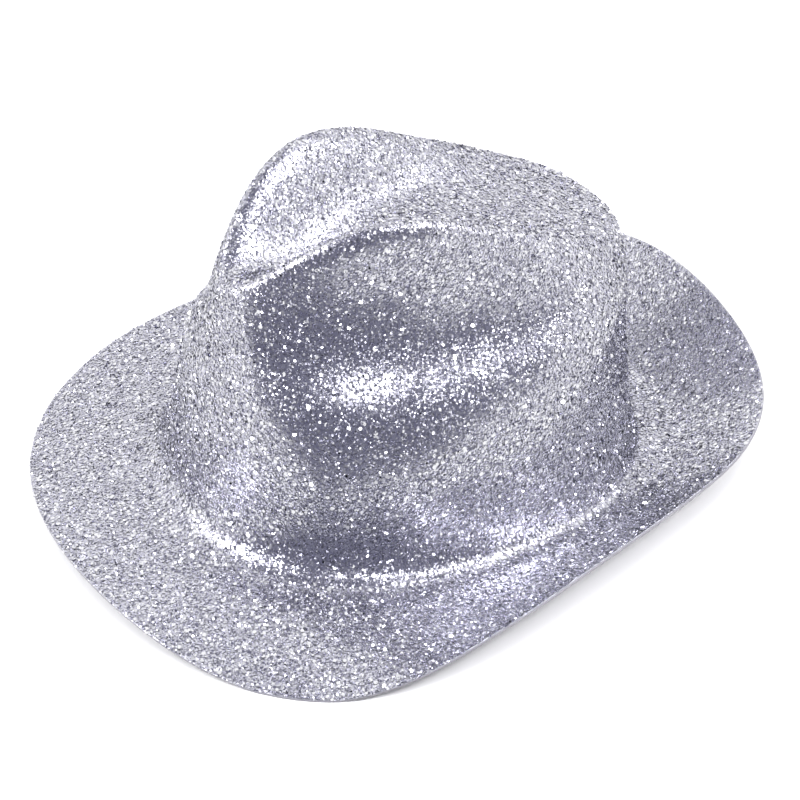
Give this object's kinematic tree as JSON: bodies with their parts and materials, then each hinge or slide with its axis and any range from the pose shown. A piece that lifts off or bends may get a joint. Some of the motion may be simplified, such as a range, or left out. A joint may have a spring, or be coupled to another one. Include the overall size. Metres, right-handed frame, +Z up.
{
  "type": "glitter party hat",
  "caption": "Glittered party hat formed from one thin plastic sheet, with a creased crown, dented sides and a curled brim.",
  "frame": {"origin": "on the surface the hat stands on, under the middle of the brim", "axes": "+Z up, the front of the hat faces -Y, the wearer's left is +X"},
  "size_m": [0.2506, 0.3005, 0.1442],
  "materials": {
    "moulded_plastic": "silver grey thermoformed sheet, satin gloss",
    "clear_glue": "clear craft adhesive, dried glossy",
    "silver_glitter": "metallised polyester flakes, dense sparkling silver with a faint lavender cast"
  },
  "bodies": {
    "root": {"formed_shell": "moulded_plastic", "glue_coat": "clear_glue", "glitter_coat": "silver_glitter"}
  },
  "joints": []
}
